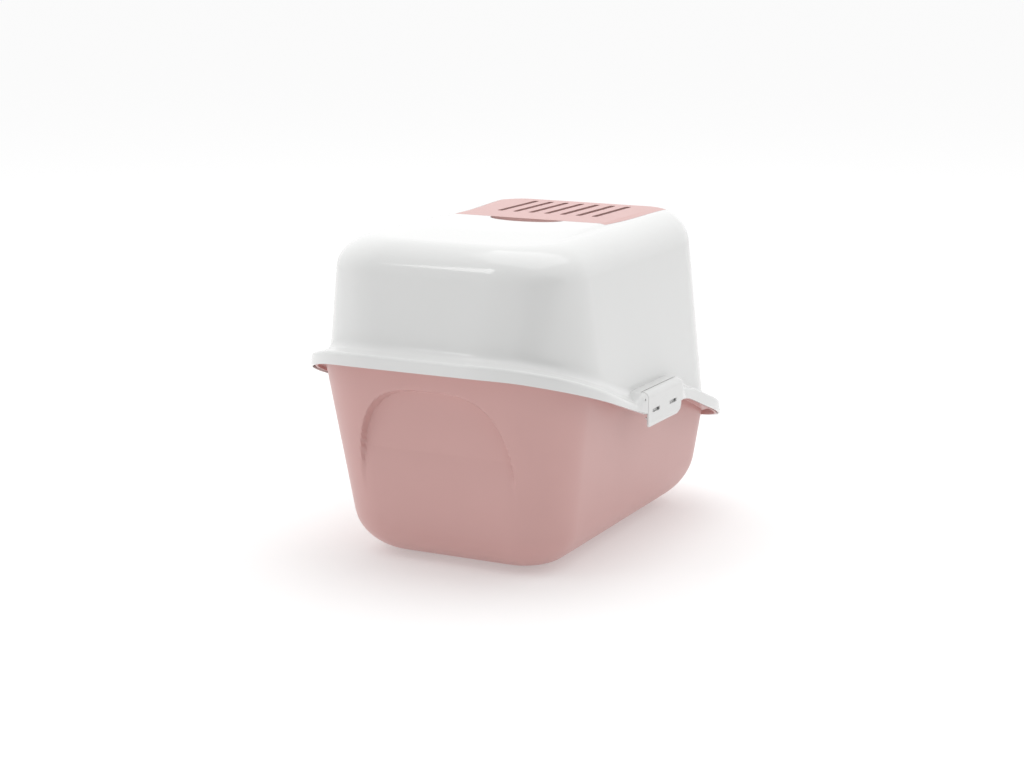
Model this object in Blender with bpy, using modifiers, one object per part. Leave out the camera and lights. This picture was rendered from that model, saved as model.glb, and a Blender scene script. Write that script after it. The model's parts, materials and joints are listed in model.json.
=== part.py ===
"""Cat litter box with a lift-off hood, side clips, a vented filter lid and a swing door.

Metres, +Z up. The origin is on the floor under the middle of the box, the entrance faces -Y and the
closed back faces +Y.
"""
from math import atan, copysign, cos, pi, radians, sin

import bmesh
import bpy
import numpy as np
from mathutils import Matrix, Vector
from mathutils.geometry import interpolate_bezier

# Overall size
LENGTH = 0.560
WIDTH = 0.390
HEIGHT = 0.393
WALL = 0.0025
GAP = 0.0003

# The parting line between tray and hood: (y, height of the hood's lower edge), front to back
PARTING = ((-0.280, 0.102), (-0.196, 0.1275), (-0.062, 0.176), (0.054, 0.176), (0.280, 0.2525))
PARTING_BLEND = 0.016
# Height of the skirt's upright band along the box, and of the wall's foot above the parting line
BAND = ((-0.280, 0.0165), (-0.090, 0.0165), (-0.055, 0.0075), (0.110, 0.0075), (0.235, 0.0150))
WALL_FOOT = ((-0.280, 0.024), (-0.200, 0.019), (0.280, 0.019))
FLANGE_RADIUS = 0.130
FLANGE_OUT = 0.020

# Hood
SHOULDER_Z = 0.353
SHOULDER_HALF = 0.1617
SHOULDER_BACK = 0.2413
SHOULDER_FRONT = -0.212
SHOULDER_RADIUS = 0.088
SHOULDER_FRONT_RADIUS = 0.088
ROUND_IN = 0.050
ROUND_FRONT_IN = 0.028
ROUNDNESS = 0.55
TOP_RADIUS = 0.060
TOP_FRONT_RADIUS = 0.028

# Tray
TRAY_FLOOR_Z = 0.0033
TRAY_TOP = (0.1744, 0.2520, 0.2527)
TRAY_SIDE_DRAFT = 0.14
TRAY_BACK_DRAFT = 0.19
TRAY_FRONT = (-0.2621, 0.1275)
TRAY_FRONT_DRAFT = 0.17
TRAY_RADII = ((0.0, 0.057), (0.200, 0.079), (0.260, 0.086))
BOTTOM_ROUND = ((-0.240, 0.062), (0.200, 0.048))
BRIM_INSET = 0.0068
BRIM_LIP = 0.0005
BRIM_UNDER = 0.0068
BRIM_EDGE = 0.0024
BRIM_FOLLOWS = 0.75

# Feet
FOOT_RADIUS = 0.013
FOOT_X = 0.066
FOOT_BACK_Y = 0.138
FOOT_FRONT_Y = -0.146

# Clips
CLIP_Y = (-0.037, 0.063)
CLIP_AXIS = (0.1899, 0.1985)
CLIP_ROUND = 0.0076
CLIP_HEAD = radians(112)
CLIP_BOTTOM = 0.163
CLIP_WALL = 0.0021
CLIP_SLOTS = (0.040, -0.011)
CLIP_SLOT_Z = 0.1817
CLIP_SLOT_SIZE = (0.021, 0.0046)
CHEEK_ROUND = 0.0065
CHEEK_TOP = 0.2058
CHEEK_LENGTHS = (0.024, 0.032)
ROD_RADIUS = 0.0016
ROD_REACH = 0.012
LUG = 0.005
LUG_ROUND = 0.0066
LUG_EYE = 0.0036

# Vent cover and the filter under it
VENT_BACK = -0.008
VENT_FRONT = -0.186
VENT_HALF = (0.106, 0.117)
VENT_CORNER = 0.016
VENT_SLOTS = 7
VENT_PITCH = 0.0220
VENT_SLOT = (0.0080, -0.168, -0.060)
HINGE_DROP = 0.0030
BARREL_RADIUS = 0.0027
BARREL_HALF = 0.055
GRIP_HALF = 0.050
GRIP_DEEP = 0.027
GRIP_DOWN = 0.014
BASKET_HALF = 0.088
BASKET_Y = (-0.164, -0.024)
BASKET_DOWN = 0.030
SEAT_WIDE = 0.010
SEAT_RISER = (0.0012, 0.0040)
SEAT_FRONT = -0.130
SEAT_DROP = 0.0088
FILTER_THICK = 0.010

# Entrance
DOOR_HALF = 0.1135
DOOR_Z = (0.138, 0.318)
DOOR_CORNER_TOP = 0.014
DOOR_CORNER_LOW = 0.018
DOOR_INNER_Y = -0.186
RIM_WIDE = 0.010
RIM_THICK = 0.0028
FLAP_Y = -0.200
FLAP_AXIS_Z = 0.308
FLAP_THICK = 0.0030
FLAP_CLEAR = 0.0018
FLAP_BARREL = (0.073, 0.0030)
LUG_X = (0.0755, 0.0795)
PIN_X = (0.062, 0.0790)
PIN_RADIUS = 0.0015
BORE_CLEAR = 0.0004

PINK = (0.615, 0.385, 0.365)
WHITE = (0.80, 0.80, 0.79)

for old in list(bpy.data.objects):
    bpy.data.objects.remove(old, do_unlink=True)


def new_collection(name):
    collection = bpy.data.collections.new(name)
    bpy.context.scene.collection.children.link(collection)
    return collection


PARTS = new_collection("cat_litter_box_with_hood")
CUTTERS = new_collection("cutters")


def material(name, colour, roughness, alpha=1.0):
    made = bpy.data.materials.new(name)
    made.use_nodes = True
    shader = made.node_tree.nodes["Principled BSDF"]
    shader.inputs["Base Color"].default_value = (*colour, 1.0)
    shader.inputs["Roughness"].default_value = roughness
    shader.inputs["Metallic"].default_value = 0.0
    shader.inputs["Alpha"].default_value = alpha
    return made


PINK_PLASTIC = material("pink_plastic", PINK, 0.42)
WHITE_PLASTIC = material("white_plastic", WHITE, 0.14)
CLEAR_PLASTIC = material("smoky_clear_plastic", (0.75, 0.72, 0.72), 0.10, 0.45)
CARBON = material("carbon_foam", (0.02, 0.02, 0.02), 0.95)
RUBBER = material("dark_rubber", (0.07, 0.035, 0.03), 0.80)
GREY_PLASTIC = material("grey_plastic", (0.30, 0.30, 0.30), 0.45)


def part(name, mesh, finish):
    piece = bpy.data.objects.new(name, mesh)
    PARTS.objects.link(piece)
    mesh.materials.clear()
    mesh.materials.append(finish)
    mesh.shade_smooth()
    mesh.set_sharp_from_angle(angle=radians(35))
    return piece


def as_cutter(name, mesh):
    cutter = bpy.data.objects.new(name, mesh)
    CUTTERS.objects.link(cutter)
    cutter.hide_render = True
    cutter.display_type = "WIRE"
    return cutter


def combine(piece, cutter, operation):
    step = piece.modifiers.new(operation.lower(), "BOOLEAN")
    step.operation = operation
    step.object = cutter
    step.solver = "EXACT"


def cut(piece, mesh):
    combine(piece, as_cutter(piece.name + "_cut", mesh), "DIFFERENCE")


def join(piece, mesh):
    combine(piece, as_cutter(piece.name + "_join", mesh), "UNION")


def keep(piece, mesh):
    combine(piece, as_cutter(piece.name + "_keep", mesh), "INTERSECT")


def box_mesh(low, high):
    mesh = bpy.data.meshes.new("box")
    work = bmesh.new()
    low = Vector(low)
    high = Vector(high)
    place = Matrix.Translation((low + high) / 2) @ Matrix.Diagonal((*(high - low), 1.0))
    bmesh.ops.create_cube(work, size=1.0, matrix=place)
    work.to_mesh(mesh)
    work.free()
    return mesh


def box_mesh_at(place, x, y, z):
    """A block of the given size, turned and placed by a matrix."""
    mesh = bpy.data.meshes.new("block")
    work = bmesh.new()
    bmesh.ops.create_cube(work, size=1.0, matrix=place @ Matrix.Diagonal((x, y, z, 1.0)))
    work.to_mesh(mesh)
    work.free()
    return mesh


def rod_mesh(start, end, radius, sides=20):
    """A closed cylinder from one point to another."""
    start = Vector(start)
    along = Vector(end) - start
    turn = Vector((0.0, 0.0, 1.0)).rotation_difference(along).to_matrix().to_4x4()
    mesh = bpy.data.meshes.new("rod")
    work = bmesh.new()
    bmesh.ops.create_cone(work, cap_ends=True, segments=sides, radius1=radius, radius2=radius,
                          depth=along.length, matrix=Matrix.Translation(start + along / 2) @ turn)
    work.to_mesh(mesh)
    work.free()
    return mesh


def rounded(corners, steps=6):
    """Outline through corners given as (x, y, radius), each corner an arc."""
    outline = []
    for index, (x, y, radius) in enumerate(corners):
        corner = Vector((x, y))
        if radius == 0.0:
            outline.append(corner)
            continue
        before = (Vector(corners[index - 1][:2]) - corner).normalized()
        after = (Vector(corners[(index + 1) % len(corners)][:2]) - corner).normalized()
        half = before.angle(after) / 2
        centre = corner + (before + after).normalized() * radius / sin(half)
        first = corner + before * radius * cos(half) / sin(half) - centre
        last = corner + after * radius * cos(half) / sin(half) - centre
        sweep = first.angle_signed(last)
        for step in range(steps + 1):
            angle = -sweep * step / steps
            outline.append(centre + Matrix.Rotation(angle, 2) @ first)
    return outline


def plate_mesh(outline, thickness, place):
    """A flat outline given its thickness along its own Z, then placed."""
    curve = bpy.data.curves.new("outline", "CURVE")
    curve.dimensions = "2D"
    curve.fill_mode = "BOTH"
    curve.extrude = thickness / 2
    line = curve.splines.new("POLY")
    line.points.add(len(outline) - 1)
    for point, (x, y) in zip(line.points, outline):
        point.co = (x, y, 0.0, 1.0)
    line.use_cyclic_u = True
    holder = bpy.data.objects.new("outline", curve)
    CUTTERS.objects.link(holder)
    graph = bpy.context.evaluated_depsgraph_get()
    mesh = bpy.data.meshes.new_from_object(holder.evaluated_get(graph))
    bpy.data.objects.remove(holder, do_unlink=True)
    work = bmesh.new()
    work.from_mesh(mesh)
    bmesh.ops.remove_doubles(work, verts=work.verts, dist=0.00001)
    work.transform(place)
    bmesh.ops.recalc_face_normals(work, faces=work.faces)
    work.to_mesh(mesh)
    work.free()
    return mesh


def upright(y):
    """Places a flat outline in an XZ plane at y, its second coordinate up."""
    return Matrix.Translation((0.0, y, 0.0)) @ Matrix.Rotation(pi / 2, 4, "X")


def lying(z):
    return Matrix.Translation((0.0, 0.0, z))


def along(line, y):
    """The value at y on a line of (y, value) points."""
    ys, values = zip(*line)
    return float(np.interp(y, ys, values))


def parting(y):
    """Height of the hood's lower edge, with its bends eased."""
    eased = [along(PARTING, y + shift * PARTING_BLEND) for shift in (-1.0, -0.5, 0.0, 0.5, 1.0)]
    return sum(eased) / len(eased)


def rim_at(y, reach):
    """The parting line's height beside a point of a section that ends at reach, not at the flange's edge."""
    straight = LENGTH / 2 - FLANGE_RADIUS
    beyond = max(abs(y) - straight, 0.0) * FLANGE_RADIUS / (abs(reach) - straight)
    return parting(copysign(min(abs(y), straight) + beyond, y))


# Fractions along a long side where a section has points, closer together at the parting line's bends
SIDE_FRACTIONS = (0.10, 0.20, 0.29, 0.355, 0.42, 0.50, 0.60, 0.68, 0.745, 0.81, 0.90)
END_STEPS = 4
CORNER_STEPS = 7


def section(half, back, front, radius, front_radius=None):
    """Plan points of a rounded rectangle, anticlockwise from the back's right-hand corner."""
    radii = (radius, radius, front_radius or radius, front_radius or radius)
    points = []
    centres = ((half, back, 1, 1), (-half, back, -1, 1), (-half, front, -1, -1), (half, front, 1, -1))
    for index, (x, y, side, end) in enumerate(centres):
        centre = Vector((x - side * radii[index], y - end * radii[index]))
        for step in range(CORNER_STEPS + 1):
            angle = pi / 2 * (index + step / CORNER_STEPS)
            points.append(centre + radii[index] * Vector((cos(angle), sin(angle))))
        last = points[-1]
        x_next, y_next, side_next, end_next = centres[(index + 1) % 4]
        turn = pi / 2 * (index + 1)
        next_radius = radii[(index + 1) % 4]
        following = Vector((x_next - side_next * next_radius, y_next - end_next * next_radius))
        following += next_radius * Vector((cos(turn), sin(turn)))
        if index % 2:
            fractions = [1 - f for f in reversed(SIDE_FRACTIONS)] if index == 1 else SIDE_FRACTIONS
        else:
            fractions = [step / END_STEPS for step in range(1, END_STEPS)]
        points.extend(last.lerp(following, f) for f in fractions)
    return points


def flange_section(inset):
    return section(WIDTH / 2 - inset, LENGTH / 2 - inset, inset - LENGTH / 2, FLANGE_RADIUS - inset / 2)


def tray_section(z, inset=0.0):
    half, back, top = TRAY_TOP
    front, front_z = TRAY_FRONT
    half += TRAY_SIDE_DRAFT * (z - top) - inset
    back += TRAY_BACK_DRAFT * (z - top) - inset
    front += TRAY_FRONT_DRAFT * (front_z - z) + inset
    radius = along(TRAY_RADII, z) - 0.6 * inset
    return section(half, back, front, max(radius, 0.012))


def loft(rings, closed_end):
    """A skin over rings of equally many points, with the chosen end ring filled."""
    work = bmesh.new()
    rows = [[work.verts.new(point) for point in ring] for ring in rings]
    count = len(rows[0])
    for lower, upper in zip(rows, rows[1:]):
        for index in range(count):
            after = (index + 1) % count
            work.faces.new((lower[index], lower[after], upper[after], upper[index]))
    work.faces.new(rows[closed_end] if closed_end else list(reversed(rows[0])))
    mesh = bpy.data.meshes.new("loft")
    work.to_mesh(mesh)
    work.free()
    return mesh


def thicken(piece, thickness):
    wall = piece.modifiers.new("wall", "SOLIDIFY")
    wall.thickness = thickness
    wall.offset = -1.0
    wall.use_even_offset = True


def tray_skin():
    """The tray's outer wall from the floor up, then its brim and the brim's down-turned lip."""
    rim_heights = [parting(point.y) for point in flange_section(0.0)]
    base = tray_section(TRAY_FLOOR_Z)
    rounds = [along(BOTTOM_ROUND, point.y) for point in base]
    rings = []
    for step in range(9):
        angle = pi / 2 * step / 8
        ring = []
        for index, turn in enumerate(rounds):
            z = TRAY_FLOOR_Z + turn * (1 - cos(angle))
            point = tray_section(z, turn * (1 - sin(angle)))[index]
            ring.append((point.x, point.y, z))
        rings.append(ring)
    wall_top = []
    for index, rim in enumerate(rim_heights):
        z = rim + BRIM_UNDER
        point = tray_section(z)[index]
        reach = max(abs(other.y) for other in tray_section(z) if other.y * point.y > 0)
        wall_top.append(rim_at(point.y, reach) + BRIM_UNDER)
    for share in (0.25, 0.5, 0.75, 1.0):
        ring = []
        for index, turn in enumerate(rounds):
            low = TRAY_FLOOR_Z + turn
            z = low + share * (wall_top[index] - low)
            point = tray_section(z)[index]
            ring.append((point.x, point.y, z))
        rings.append(ring)
    edge = list(zip(flange_section(BRIM_INSET), rim_heights))
    side_band = along(BAND, 0.0)
    rings.append([(x, y, rim + BRIM_EDGE + BRIM_FOLLOWS * (along(BAND, y) - side_band))
                  for (x, y), rim in edge])
    rings.append([(x, y, rim + BRIM_LIP) for (x, y), rim in edge])
    return loft(rings, 0)


def hood_rings(depth=0.0):
    """Rings of the hood's outer surface, or of a surface that lies depth inside it."""
    rims = [parting(point.y) for point in flange_section(0.0)]
    rings = [[(*point, rim) for point, rim in zip(flange_section(depth), rims)]]
    rings.append([(x, y, z + along(BAND, y) - depth)
                  for (x, y), z in zip(flange_section(0.001 + depth), rims)])
    foot = [Vector((*point, rim + along(WALL_FOOT, point.y) - depth))
            for point, rim in zip(flange_section(FLANGE_OUT + depth), rims)]
    shoulder = section(SHOULDER_HALF - depth, SHOULDER_BACK - depth, SHOULDER_FRONT + depth,
                       SHOULDER_RADIUS, SHOULDER_FRONT_RADIUS)
    shoulder = [Vector((*point, SHOULDER_Z)) for point in shoulder]
    for share in (0.0, 0.33, 0.67):
        rings.append([low.lerp(high, share) for low, high in zip(foot, shoulder)])
    rise = HEIGHT - depth - SHOULDER_Z
    top = section(SHOULDER_HALF - ROUND_IN, SHOULDER_BACK - ROUND_IN, SHOULDER_FRONT + ROUND_FRONT_IN,
                  TOP_RADIUS, TOP_FRONT_RADIUS)
    bends = []
    for low, high, end in zip(foot, shoulder, top):
        slope = (high - low) / (high.z - low.z)
        end = Vector((*end, HEIGHT - depth))
        inward = Vector((high.x - end.x, high.y - end.y, 0.0)) * ROUNDNESS
        bends.append(interpolate_bezier(high, high + slope * rise * ROUNDNESS, end + inward, end, 9))
    rings.extend([bend[step] for bend in bends] for step in range(9))
    return rings


def hood_core():
    """A closed solid just inside the hood's outer surface, which trims what is added outside the wall."""
    rings = hood_rings(WALL / 2)
    rings.insert(0, [(x, y, z - 0.040) for x, y, z in rings[0]])
    work = bmesh.new()
    work.from_mesh(loft(rings, -1))
    edges = [edge for edge in work.edges if edge.is_boundary]
    bmesh.ops.contextual_create(work, geom=edges)
    bmesh.ops.recalc_face_normals(work, faces=work.faces)
    mesh = bpy.data.meshes.new("hood_core")
    work.to_mesh(mesh)
    work.free()
    return mesh


def hood_front_y(z):
    """Where the front wall's outer face is at height z, on the middle line."""
    low = parting(-LENGTH / 2) + along(WALL_FOOT, -LENGTH / 2)
    low_y = FLANGE_OUT - LENGTH / 2
    return low_y + (z - low) / (SHOULDER_Z - low) * (SHOULDER_FRONT - low_y)


def vent_outline(margin):
    """The cover's plan outline, moved out by margin."""
    near, far = VENT_HALF
    turn = VENT_CORNER + margin
    return rounded([(near + margin, VENT_BACK + margin, 0.0), (-near - margin, VENT_BACK + margin, 0.0),
                    (-far - margin, VENT_FRONT - margin, turn), (far + margin, VENT_FRONT - margin, turn)], 5)


def grip_outline(margin):
    """Half-moon plan outline of the grip pocket behind the cover's edge."""
    steps = 14
    moon = [(GRIP_HALF + margin, VENT_BACK), (GRIP_HALF + margin, VENT_BACK + 0.001)]
    for step in range(1, steps):
        angle = pi * step / steps
        out = VENT_BACK + 0.001 + (GRIP_DEEP + margin) * sin(angle)
        moon.append(((GRIP_HALF + margin) * cos(angle), out))
    moon.extend([(-GRIP_HALF - margin, VENT_BACK + 0.001), (-GRIP_HALF - margin, VENT_BACK)])
    return moon


def tall_plate(outline, low, high):
    return plate_mesh(outline, high - low, lying((low + high) / 2))


def top_height(y):
    """Height of the hood's outer surface on the middle line, over the front shoulder."""
    rise = HEIGHT - SHOULDER_Z
    slope = Vector((0.0, (SHOULDER_FRONT - hood_front_y(SHOULDER_Z - 0.01)) / 0.01, 1.0))
    start = Vector((0.0, SHOULDER_FRONT, SHOULDER_Z))
    end = Vector((0.0, SHOULDER_FRONT + ROUND_FRONT_IN, HEIGHT))
    inward = Vector((0.0, -ROUND_FRONT_IN * ROUNDNESS, 0.0))
    bend = interpolate_bezier(start, start + slope * rise * ROUNDNESS, end + inward, end, 9)
    return float(np.interp(y, [point.y for point in bend], [point.z for point in bend]))


HINGE_Y = VENT_FRONT
HINGE_Z = top_height(VENT_FRONT) - HINGE_DROP


def entrance_outline(inset):
    """The entrance seen from the front, as (x, z), moved in by inset."""
    half = DOOR_HALF - inset
    low, high = DOOR_Z[0] + inset, DOOR_Z[1] - inset
    top, bottom = DOOR_CORNER_TOP - inset, max(DOOR_CORNER_LOW - inset, 0.004)
    return rounded([(half, low, bottom), (half, high, top), (-half, high, top), (-half, low, bottom)], 8)


def make_tray():
    tray = part("litter_tray", tray_skin(), PINK_PLASTIC)
    thicken(tray, WALL)


def make_feet():
    for end, y in (("back", FOOT_BACK_Y), ("front", FOOT_FRONT_Y)):
        for side, x in (("left", -FOOT_X), ("right", FOOT_X)):
            pad = rod_mesh((x, y, 0.0), (x, y, TRAY_FLOOR_Z - GAP), FOOT_RADIUS, 24)
            part(f"foot_{end}_{side}", pad, RUBBER)


def clip_seat(hood, side):
    """The raised housing that a clip's head turns in: a cheek at each end and a ridge behind the head."""
    axis_x, axis_z = CLIP_AXIS
    outer = WIDTH / 2 - 0.0002
    low_y = CLIP_Y[0] - CHEEK_LENGTHS[0]
    high_y = CLIP_Y[1] + CHEEK_LENGTHS[1]
    block = rounded([(0.168, 0.182, 0.0), (outer, 0.182, 0.0), (outer, CHEEK_TOP, CHEEK_ROUND),
                     (0.168, CHEEK_TOP, 0.0)], 5)
    reach = CLIP_ROUND + GAP
    room = [(axis_x - reach, 0.170), (0.210, 0.170), (0.210, 0.215), (axis_x - 0.0030, 0.215)]
    for step in range(7):
        angle = CLIP_HEAD + (pi - CLIP_HEAD) * step / 6
        room.append((axis_x + reach * cos(angle), axis_z + reach * sin(angle)))
    place = upright((low_y + high_y) / 2)
    clip_place = upright(sum(CLIP_Y) / 2)
    seat = as_cutter("clip_seat", plate_mesh([(side * x, z) for x, z in block], high_y - low_y, place))
    combine(seat, as_cutter("clip_seat_core", hood_core()), "DIFFERENCE")
    clip_length = CLIP_Y[1] - CLIP_Y[0] + 2 * GAP
    cut(seat, plate_mesh([(side * x, z) for x, z in room], clip_length, clip_place))
    combine(hood, seat, "UNION")
    start = (side * axis_x, CLIP_Y[0] - ROD_REACH - BORE_CLEAR, axis_z)
    end = (side * axis_x, CLIP_Y[1] + ROD_REACH + BORE_CLEAR, axis_z)
    cut(hood, rod_mesh(start, end, ROD_RADIUS + BORE_CLEAR, 12))


def make_hood():
    hood = part("hood_shell", loft(hood_rings(), -1), WHITE_PLASTIC)
    thicken(hood, WALL)
    # grip pocket and the seat that the basket and cover rest on
    top = HEIGHT
    join(hood, tall_plate(grip_outline(WALL), top - GRIP_DOWN - WALL, top - 0.0008))
    cut(hood, tall_plate(vent_outline(GAP), top - 0.060, top + 0.010))
    cut(hood, tall_plate(grip_outline(0.0), top - GRIP_DOWN, top + 0.010))
    seat_low = top - SEAT_DROP - WALL
    near, far = VENT_HALF
    for side in (-1, 1):
        ledge = sorted((side * (near - GAP - SEAT_WIDE), side * (far + SEAT_RISER[1])))
        join(hood, box_mesh((ledge[0], SEAT_FRONT, seat_low), (ledge[1], VENT_BACK + 0.006, top - SEAT_DROP)))
        riser = sorted((side * (far + SEAT_RISER[0]), side * (far + SEAT_RISER[1])))
        join(hood, box_mesh((riser[0], SEAT_FRONT, seat_low), (riser[1], VENT_BACK + 0.006, top - 0.001)))
    # hinge groove across the front of the vent opening, open above so that the cover's edge can swing
    groove = far + 0.0005
    cut(hood, rod_mesh((-groove, HINGE_Y, HINGE_Z), (groove, HINGE_Y, HINGE_Z), BARREL_RADIUS + 0.0007))
    cut(hood, box_mesh((-groove, HINGE_Y - HINGE_DROP - 0.0008, HINGE_Z), (groove, HINGE_Y, top + 0.010)))
    clip_seat(hood, -1)
    clip_seat(hood, 1)
    # entrance through the front wall
    cut(hood, plate_mesh(entrance_outline(-GAP), 0.110, upright(-0.225)))


def clip_outline():
    """A clip's end view for the right-hand side: rounded head, hanging plate and hook, as (x, z)."""
    axis_x, axis_z = CLIP_AXIS
    outer, inner = [], []
    for step in range(9):
        angle = CLIP_HEAD * (1 - step / 8)
        outer.append((axis_x + CLIP_ROUND * cos(angle), axis_z + CLIP_ROUND * sin(angle)))
        inner.append((axis_x + (CLIP_ROUND - CLIP_WALL) * cos(angle),
                      axis_z + (CLIP_ROUND - CLIP_WALL) * sin(angle)))
    face = axis_x + CLIP_ROUND
    back = face - CLIP_WALL
    hook_z = parting(0.0) - 0.0012
    foot = [(face, CLIP_BOTTOM + 0.004), (face - 0.0012, CLIP_BOTTOM), (back - 0.0008, CLIP_BOTTOM),
            (back, CLIP_BOTTOM + 0.003), (back, hook_z - 0.0022), (back - 0.0026, hook_z - 0.0006),
            (back - 0.0026, hook_z), (back, hook_z)]
    return outer + foot + list(reversed(inner))


def make_clips():
    middle = (CLIP_Y[0] + CLIP_Y[1]) / 2
    length = CLIP_Y[1] - CLIP_Y[0]
    for name, side in (("left", -1), ("right", 1)):
        axis = Vector((side * CLIP_AXIS[0], 0.0, CLIP_AXIS[1]))
        outline = [(side * x, z) for x, z in clip_outline()]
        clip = part(f"clip_{name}", plate_mesh(outline, length, upright(middle)), WHITE_PLASTIC)
        low, high = CLIP_Y[0] - 0.001, CLIP_Y[1] + 0.001
        face = rounded([(low, CLIP_BOTTOM - 0.001, 0.017), (high, CLIP_BOTTOM - 0.001, 0.009),
                        (high, 0.215, 0.0), (low, 0.215, 0.0)])
        sideways = Matrix.Rotation(pi / 2, 4, "Z") @ Matrix.Rotation(pi / 2, 4, "X")
        keep(clip, plate_mesh(face, 0.060, Matrix.Translation((axis.x, 0.0, 0.0)) @ sideways))
        for end in (CLIP_Y[0] + 0.0005, CLIP_Y[1] - LUG - 0.0005):
            lug = []
            for round_size, first, last in ((LUG_ROUND, -15, 105), (LUG_EYE, 135, 315)):
                for step in range(7):
                    angle = radians(first + (last - first) * step / 6)
                    lug.append((axis.x + side * round_size * cos(angle), axis.z + round_size * sin(angle)))
            join(clip, plate_mesh(lug, LUG, upright(end + LUG / 2)))
        bore = ((axis.x, CLIP_Y[0] - 0.01, axis.z), (axis.x, CLIP_Y[1] + 0.01, axis.z))
        cut(clip, rod_mesh(*bore, ROD_RADIUS + BORE_CLEAR, 12))
        wide, tall = CLIP_SLOT_SIZE
        for y in CLIP_SLOTS:
            x = side * (CLIP_AXIS[0] + CLIP_ROUND)
            cut(clip, box_mesh((x - 0.005, y - wide / 2, CLIP_SLOT_Z - tall / 2),
                               (x + 0.005, y + wide / 2, CLIP_SLOT_Z + tall / 2)))
        ends = ((axis.x, CLIP_Y[0] - ROD_REACH, axis.z), (axis.x, CLIP_Y[1] + ROD_REACH, axis.z))
        rod = rod_mesh(*ends, ROD_RADIUS, 12)
        part(f"clip_rod_{name}", rod, GREY_PLASTIC)


def slot_boxes(low, high):
    wide, start, end = VENT_SLOT
    for index in range(VENT_SLOTS):
        x = (index - (VENT_SLOTS - 1) / 2) * VENT_PITCH
        yield box_mesh((x - wide / 2, start, low), (x + wide / 2, end, high))


def make_vent_cover():
    cover = part("vent_cover", loft(hood_rings(), -1), PINK_PLASTIC)
    thicken(cover, WALL)
    keep(cover, tall_plate(vent_outline(-GAP), HEIGHT - 0.060, HEIGHT + 0.010))
    for mesh in slot_boxes(HEIGHT - 0.020, HEIGHT + 0.010):
        cut(cover, mesh)
    half = GRIP_HALF - 0.001
    back = VENT_BACK - GAP
    join(cover, box_mesh((-half, back - 0.0022, HEIGHT - GRIP_DOWN + 0.0008), (half, back, HEIGHT - 0.0008)))
    join(cover, rod_mesh((-BARREL_HALF, HINGE_Y, HINGE_Z), (BARREL_HALF, HINGE_Y, HINGE_Z), BARREL_RADIUS))


def make_filter():
    top = HEIGHT - SEAT_DROP + GAP
    low = HEIGHT - BASKET_DOWN
    body = box_mesh((-BASKET_HALF, BASKET_Y[0], low), (BASKET_HALF, BASKET_Y[1], top))
    basket = part("filter_basket", body, GREY_PLASTIC)
    flange = VENT_HALF[0] - 0.0015
    join(basket, box_mesh((-flange, SEAT_FRONT + 0.002, top), (flange, BASKET_Y[1] - 0.002, top + 0.0022)))
    cut(basket, box_mesh((-BASKET_HALF + 0.002, BASKET_Y[0] + 0.002, low + 0.002),
                         (BASKET_HALF - 0.002, BASKET_Y[1] - 0.002, HEIGHT + 0.01)))
    for mesh in slot_boxes(low - 0.01, low + 0.01):
        cut(basket, mesh)
    pad = (BASKET_HALF - 0.0032, BASKET_Y[0] + 0.0032, BASKET_Y[1] - 0.0032)
    carbon = box_mesh((-pad[0], pad[1], low + 0.002 + GAP), (pad[0], pad[2], low + 0.002 + FILTER_THICK))
    part("carbon_filter", carbon, CARBON)


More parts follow.
